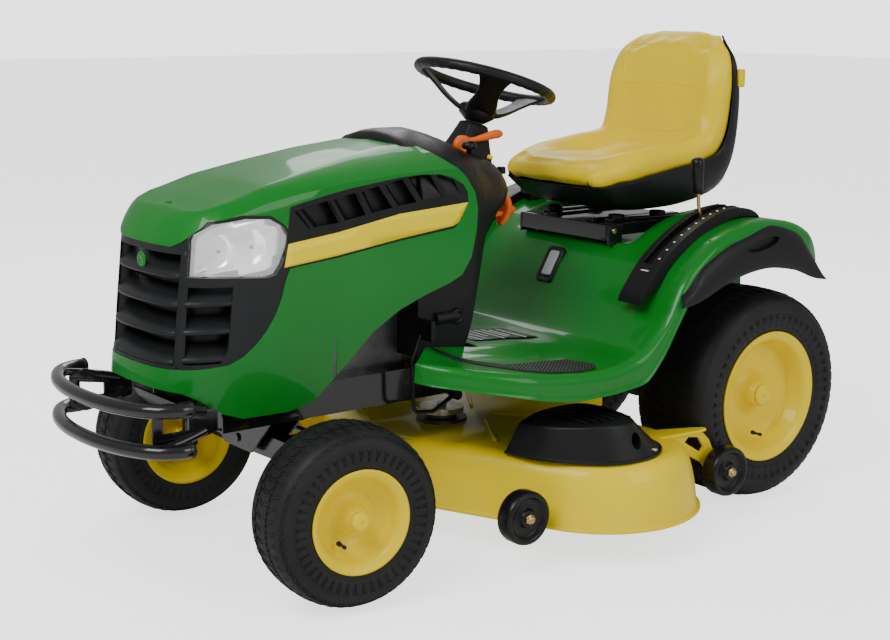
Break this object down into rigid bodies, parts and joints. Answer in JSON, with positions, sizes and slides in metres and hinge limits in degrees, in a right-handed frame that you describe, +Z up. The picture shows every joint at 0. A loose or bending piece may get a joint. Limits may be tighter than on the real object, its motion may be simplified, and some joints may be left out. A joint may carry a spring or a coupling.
{
  "type": "riding lawn mower",
  "caption": "Lawn tractor with tilting hood, bucket seat, steered front axle, mid-mounted cutting deck with gauge wheels, side discharge deflector and tubular front bumper.",
  "frame": {"origin": "on the ground under the centre of the machine's bounding box", "axes": "+Z up; the front faces -Y; the machine's left side is +X"},
  "size_m": [1.462, 1.9985, 1.202],
  "materials": {
    "green_paint": "gloss",
    "yellow_paint": "gloss",
    "black_paint": "gloss",
    "black_plastic": "satin",
    "grey_plastic": "satin",
    "mat_rubber": "matte",
    "tyre": "matte",
    "lamp": "clear, bright reflector inside",
    "window": "translucent",
    "seat_vinyl": "satin",
    "steel": "zinc plated",
    "aluminium": "cast",
    "tank": "natural",
    "orange_plastic": "satin"
  },
  "bodies": {
    "frame": {"frame_rails": "black_paint", "frame_crossmembers": "black_paint", "bumper_tubes": "black_paint", "bumper_brackets": "black_paint", "engine_crankcase": "aluminium", "engine_cylinders": "aluminium", "engine_blower_housing": "black_plastic", "muffler": "steel", "transaxle_case": "aluminium", "fuel_tank": "tank", "battery": "grey_plastic", "dash_pedestal": "black_plastic", "fender_body": "green_paint", "foot_mats": "mat_rubber", "fender_flares": "black_plastic", "lift_console": "black_plastic", "fuel_gauge_window": "window", "hood_valance": "grey_plastic"},
    "fuel_cap": {"fuel_cap": "black_plastic"},
    "hood": {"hood_shell": "green_paint", "grille": "grey_plastic", "headlights": "lamp", "side_vents": "black_plastic"},
    "seat_base": {"seat_base_plate": "black_paint"},
    "seat": {"seat_shell": "black_plastic", "seat_cushion": "seat_vinyl", "seat_springs": "steel"},
    "front_axle": {"front_axle_beam": "black_paint"},
    "knuckle_left": {"knuckle_left": "black_paint"},
    "knuckle_right": {"knuckle_right": "black_paint"},
    "tie_rod": {"tie_rod": "steel"},
    "front_wheel_left": {"front_rim_left": "yellow_paint", "front_tyre_left": "tyre"},
    "front_wheel_right": {"front_rim_right": "yellow_paint", "front_tyre_right": "tyre"},
    "rear_wheel_left": {"rear_rim_left": "yellow_paint", "rear_tyre_left": "tyre"},
    "rear_wheel_right": {"rear_rim_right": "yellow_paint", "rear_tyre_right": "tyre"},
    "deck": {"deck_shell": "yellow_paint", "deck_gauge_brackets": "yellow_paint", "spindle_covers": "black_plastic", "spindle_housings": "aluminium"},
    "blade_left": {"blade_left": "steel"},
    "blade_centre": {"blade_centre": "steel"},
    "blade_right": {"blade_right": "steel"},
    "gauge_front_left": {"gauge_wheel_front_left": "grey_plastic"},
    "gauge_rear_left": {"gauge_wheel_rear_left": "grey_plastic"},
    "gauge_front_right": {"gauge_wheel_front_right": "grey_plastic"},
    "gauge_rear_right": {"gauge_wheel_rear_right": "grey_plastic"},
    "deflector": {"discharge_deflector": "black_plastic"},
    "steering": {"steering_wheel": "black_plastic", "steering_shaft": "steel"},
    "lift_lever": {"lift_lever": "steel"},
    "throttle": {"throttle_lever": "orange_plastic"},
    "pto_knob": {"pto_knob": "black_plastic"},
    "choke": {"choke_handle": "orange_plastic"},
    "brake_pedal": {"brake_pedal": "black_paint"},
    "forward_pedal": {"forward_pedal": "black_plastic"},
    "reverse_pedal": {"reverse_pedal": "black_plastic"}
  },
  "joints": [
    {"name": "hood_tilt", "type": "hinge", "parent": "frame", "child": "hood", "pos_m": [0.089, -0.78, 0.436], "axis": [1, 0, 0], "range_deg": [0, 55]},
    {"name": "seat_tilt", "type": "hinge", "parent": "frame", "child": "seat_base", "pos_m": [0.089, 0.424, 0.69], "axis": [1, 0, 0], "range_deg": [0, 60]},
    {"name": "seat_slide", "type": "slide", "parent": "seat_base", "child": "seat", "axis": [0, 1, 0], "range_m": [-0.04, 0.06]},
    {"name": "fuel_cap_turn", "type": "hinge", "parent": "frame", "child": "fuel_cap", "pos_m": [-0.211, 0.58, 0.75], "axis": [0, 0, 1], "range_deg": [0, 120]},
    {"name": "steering_turn", "type": "hinge", "parent": "frame", "child": "steering", "pos_m": [0.089, 0.14, 1.08], "axis": [0, 0.3057, 0.9521], "range_deg": [-104, 160]},
    {"name": "axle_pivot", "type": "hinge", "parent": "frame", "child": "front_axle", "pos_m": [0.089, -0.545, 0.285], "axis": [0, 1, 0], "range_deg": [-6, 6]},
    {"name": "knuckle_left_turn", "type": "hinge", "parent": "front_axle", "child": "knuckle_left", "pos_m": [0.389, -0.545, 0.285], "axis": [0, 0, 1], "range_deg": [-26, 40]},
    {"name": "front_wheel_left_spin", "type": "hinge", "parent": "knuckle_left", "child": "front_wheel_left", "pos_m": [0.48329, -0.55658, 0.203], "axis": [0.9925, -0.1219, 0], "continuous": true},
    {"name": "knuckle_right_turn", "type": "hinge", "parent": "front_axle", "child": "knuckle_right", "pos_m": [-0.211, -0.545, 0.285], "axis": [0, 0, 1], "range_deg": [-26, 40]},
    {"name": "front_wheel_right_spin", "type": "hinge", "parent": "knuckle_right", "child": "front_wheel_right", "pos_m": [-0.30529, -0.53342, 0.203], "axis": [0.9925, -0.1219, 0], "continuous": true},
    {"name": "tie_rod_slide", "type": "slide", "parent": "front_axle", "child": "tie_rod", "axis": [1, 0, 0], "range_m": [-0.063, 0.041]},
    {"name": "rear_wheel_left_spin", "type": "hinge", "parent": "frame", "child": "rear_wheel_left", "pos_m": [0.439, 0.72, 0.28], "axis": [1, 0, 0], "continuous": true},
    {"name": "rear_wheel_right_spin", "type": "hinge", "parent": "frame", "child": "rear_wheel_right", "pos_m": [-0.261, 0.72, 0.28], "axis": [1, 0, 0], "continuous": true},
    {"name": "lift_lever_tilt", "type": "hinge", "parent": "frame", "child": "lift_lever", "pos_m": [0.451, 0.591, 0.64], "axis": [1, 0, 0], "range_deg": [-5, 20]},
    {"name": "deck_height", "type": "slide", "parent": "frame", "child": "deck", "axis": [0, 0, 1], "range_m": [-0.04, 0.01]},
    {"name": "gauge_front_left_spin", "type": "hinge", "parent": "deck", "child": "gauge_front_left", "pos_m": [0.577, -0.134, 0.134], "axis": [1, 0, 0], "continuous": true},
    {"name": "gauge_rear_left_spin", "type": "hinge", "parent": "deck", "child": "gauge_rear_left", "pos_m": [0.601, 0.504, 0.134], "axis": [1, 0, 0], "continuous": true},
    {"name": "gauge_front_right_spin", "type": "hinge", "parent": "deck", "child": "gauge_front_right", "pos_m": [-0.399, -0.134, 0.134], "axis": [1, 0, 0], "continuous": true},
    {"name": "gauge_rear_right_spin", "type": "hinge", "parent": "deck", "child": "gauge_rear_right", "pos_m": [-0.423, 0.504, 0.134], "axis": [1, 0, 0], "continuous": true},
    {"name": "blade_centre_spin", "type": "hinge", "parent": "deck", "child": "blade_centre", "pos_m": [0.089, 0.01, 0.112], "axis": [0, 0, 1], "continuous": true},
    {"name": "blade_left_spin", "type": "hinge", "parent": "deck", "child": "blade_left", "pos_m": [0.484, 0.18, 0.112], "axis": [0, 0, 1], "continuous": true},
    {"name": "blade_right_spin", "type": "hinge", "parent": "deck", "child": "blade_right", "pos_m": [-0.306, 0.18, 0.112], "axis": [0, 0, 1], "continuous": true},
    {"name": "deflector_lift", "type": "hinge", "parent": "deck", "child": "deflector", "pos_m": [-0.547, 0.18, 0.25], "axis": [0, 1, 0], "range_deg": [0, 70], "stiffness_Nm_per_rad": 2},
    {"name": "throttle_tilt", "type": "hinge", "parent": "frame", "child": "throttle", "pos_m": [0.149, 0.022, 0.95], "axis": [1, 0, 0], "range_deg": [0, 18]},
    {"name": "pto_pull", "type": "slide", "parent": "frame", "child": "pto_knob", "axis": [0, 0, 1], "range_m": [0, 0.012]},
    {"name": "choke_pull", "type": "slide", "parent": "frame", "child": "choke", "axis": [0, 1, 0], "range_m": [0, 0.03]},
    {"name": "brake_press", "type": "hinge", "parent": "frame", "child": "brake_pedal", "pos_m": [0.307, -0.119, 0.362], "axis": [1, 0, 0], "range_deg": [0, 12], "stiffness_Nm_per_rad": 60},
    {"name": "forward_press", "type": "hinge", "parent": "frame", "child": "forward_pedal", "pos_m": [-0.211, -0.249, 0.38], "axis": [1, 0, 0], "range_deg": [0, 12], "stiffness_Nm_per_rad": 40},
    {"name": "reverse_press", "type": "hinge", "parent": "frame", "child": "reverse_pedal", "pos_m": [-0.296, -0.184, 0.38], "axis": [1, 0, 0], "range_deg": [0, 12], "stiffness_Nm_per_rad": 40}
  ],
  "couplings": [
    {"joint": "knuckle_left_turn", "follows": "steering_turn", "ratio": 0.25},
    {"joint": "knuckle_right_turn", "follows": "steering_turn", "ratio": 0.25},
    {"joint": "tie_rod_slide", "follows": "steering_turn", "m_per_rad": -0.0225},
    {"joint": "deck_height", "follows": "lift_lever_tilt", "m_per_rad": -0.1146},
    {"joint": "blade_left_spin", "follows": "blade_centre_spin", "ratio": 1},
    {"joint": "blade_right_spin", "follows": "blade_centre_spin", "ratio": 1}
  ]
}
